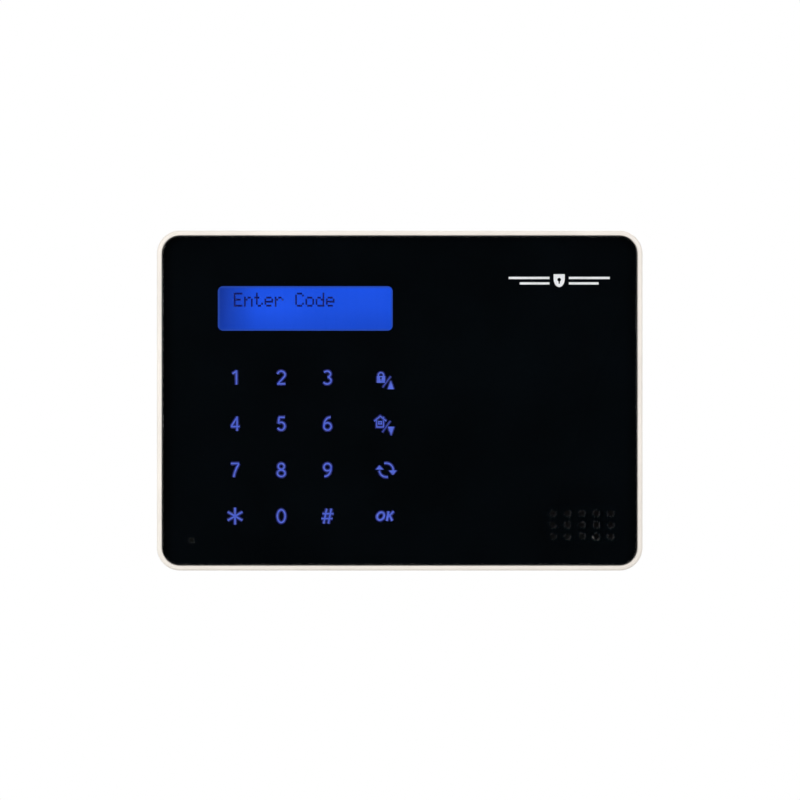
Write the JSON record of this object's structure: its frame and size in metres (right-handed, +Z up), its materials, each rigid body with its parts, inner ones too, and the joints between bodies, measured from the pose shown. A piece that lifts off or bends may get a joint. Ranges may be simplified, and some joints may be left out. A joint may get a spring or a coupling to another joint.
{
  "type": "alarm keypad panel",
  "caption": "Wall-mounted alarm keypad with a glossy touch front, a blue backlit text display, a speaker grille and a hinged front half on a screwed back plate.",
  "frame": {"origin": "centre of the back plate's wall face", "axes": "+Z up, +X to the right as seen from the front, +Y into the wall"},
  "size_m": [0.168, 0.026, 0.1176],
  "materials": {
    "housing_white": "fine moulded texture",
    "clear_acrylic": "polished",
    "black_print": "screen print seen through the sheet",
    "black_tape": "foam tape",
    "black_steel": "satin black",
    "display_glass": "backlit blue",
    "white_plastic": "satin",
    "board_green": "solder mask",
    "black_plastic": "moulded",
    "steel": "zinc plated",
    "brass": "turned",
    "diffuser_film": "frosted, lit blue from behind",
    "led_blue": "clear resin",
    "capacitor_sleeve": "satin can",
    "foam": "closed-cell foam",
    "cone_paper": "pressed",
    "magnet": "sintered",
    "mesh_cloth": "fine woven",
    "aluminium": "satin",
    "black_rubber": "moulded",
    "copper": "copper foil under solder mask",
    "lead_red": "PVC",
    "lead_black": "PVC",
    "terminal_green": "moulded",
    "switch_red": "moulded",
    "trimmer_blue": "moulded"
  },
  "bodies": {
    "wall_half": {"back_plate": "housing_white", "thread_insert": "brass"},
    "front_half": {"front_housing": "housing_white", "front_panel": "clear_acrylic", "print_film": "black_print", "panel_tape": "black_tape", "lcd_bezel": "black_steel", "lcd_glass": "display_glass", "lcd_backlight": "white_plastic", "lcd_board": "board_green", "lcd_header": "black_plastic", "lcd_screws": "steel", "key_diffuser": "diffuser_film", "touch_board": "board_green", "touch_header": "black_plastic", "light_funnels": "white_plastic", "key_leds": "led_blue", "main_board": "board_green", "board_screws": "steel", "processor": "black_plastic", "capacitors": "capacitor_sleeve", "board_chips": "black_plastic", "speaker_gasket": "foam", "speaker_frame": "steel", "speaker_cone": "cone_paper", "speaker_magnet": "magnet", "acoustic_mesh": "mesh_cloth", "microphone": "aluminium", "mic_boot": "black_rubber", "mic_pins": "steel", "antenna_board": "board_green", "antenna_coil": "copper", "lead_sockets": "white_plastic", "lead_plugs": "white_plastic", "speaker_lead": "lead_red", "antenna_lead": "lead_black", "tamper_switch": "black_plastic", "tamper_spring": "steel", "terminal_block": "terminal_green", "terminal_clamps": "steel", "dip_switch": "switch_red", "contrast_trimmer": "trimmer_blue"},
    "locking_screw": {"locking_screw": "steel"},
    "tamper_plunger": {"tamper_plunger": "white_plastic"},
    "trimmer_rotor": {"trimmer_rotor": "white_plastic"},
    "terminal_screw_1": {"terminal_screw_1": "steel"},
    "dip_slider_1": {"dip_slider_1": "white_plastic"},
    "terminal_screw_2": {"terminal_screw_2": "steel"},
    "dip_slider_2": {"dip_slider_2": "white_plastic"},
    "terminal_screw_3": {"terminal_screw_3": "steel"},
    "dip_slider_3": {"dip_slider_3": "white_plastic"},
    "terminal_screw_4": {"terminal_screw_4": "steel"},
    "dip_slider_4": {"dip_slider_4": "white_plastic"}
  },
  "joints": [
    {"name": "front_swing", "type": "hinge", "parent": "wall_half", "child": "front_half", "pos_m": [0, -0.004, 0.0545], "axis": [-1, 0, 0], "range_deg": [0, 25]},
    {"name": "locking_screw_turn", "type": "hinge", "parent": "wall_half", "child": "locking_screw", "pos_m": [0, -0.007, -0.0588], "axis": [0, 0, -1], "continuous": true},
    {"name": "tamper_press", "type": "slide", "parent": "front_half", "child": "tamper_plunger", "axis": [0, 1, 0], "range_m": [0, 0.0025], "stiffness_N_per_m": 150, "springref_m": 0.0045, "deforming": ["tamper_spring"]},
    {"name": "trimmer_turn", "type": "hinge", "parent": "front_half", "child": "trimmer_rotor", "pos_m": [-0.055, -0.0094, 0.038], "axis": [0, 1, 0], "range_deg": [-130, 130]},
    {"name": "terminal_screw_1_turn", "type": "hinge", "parent": "front_half", "child": "terminal_screw_1", "pos_m": [-0.01847, -0.005, -0.034], "axis": [0, 1, 0], "continuous": true},
    {"name": "terminal_screw_2_turn", "type": "hinge", "parent": "front_half", "child": "terminal_screw_2", "pos_m": [-0.01339, -0.005, -0.034], "axis": [0, 1, 0], "continuous": true},
    {"name": "terminal_screw_3_turn", "type": "hinge", "parent": "front_half", "child": "terminal_screw_3", "pos_m": [-0.00831, -0.005, -0.034], "axis": [0, 1, 0], "continuous": true},
    {"name": "terminal_screw_4_turn", "type": "hinge", "parent": "front_half", "child": "terminal_screw_4", "pos_m": [-0.00323, -0.005, -0.034], "axis": [0, 1, 0], "continuous": true},
    {"name": "dip_slider_1_slide", "type": "slide", "parent": "front_half", "child": "dip_slider_1", "axis": [1, 0, 0], "range_m": [0, 0.0016]},
    {"name": "dip_slider_2_slide", "type": "slide", "parent": "front_half", "child": "dip_slider_2", "axis": [1, 0, 0], "range_m": [0, 0.0016]},
    {"name": "dip_slider_3_slide", "type": "slide", "parent": "front_half", "child": "dip_slider_3", "axis": [1, 0, 0], "range_m": [0, 0.0016]},
    {"name": "dip_slider_4_slide", "type": "slide", "parent": "front_half", "child": "dip_slider_4", "axis": [1, 0, 0], "range_m": [0, 0.0016]}
  ]
}
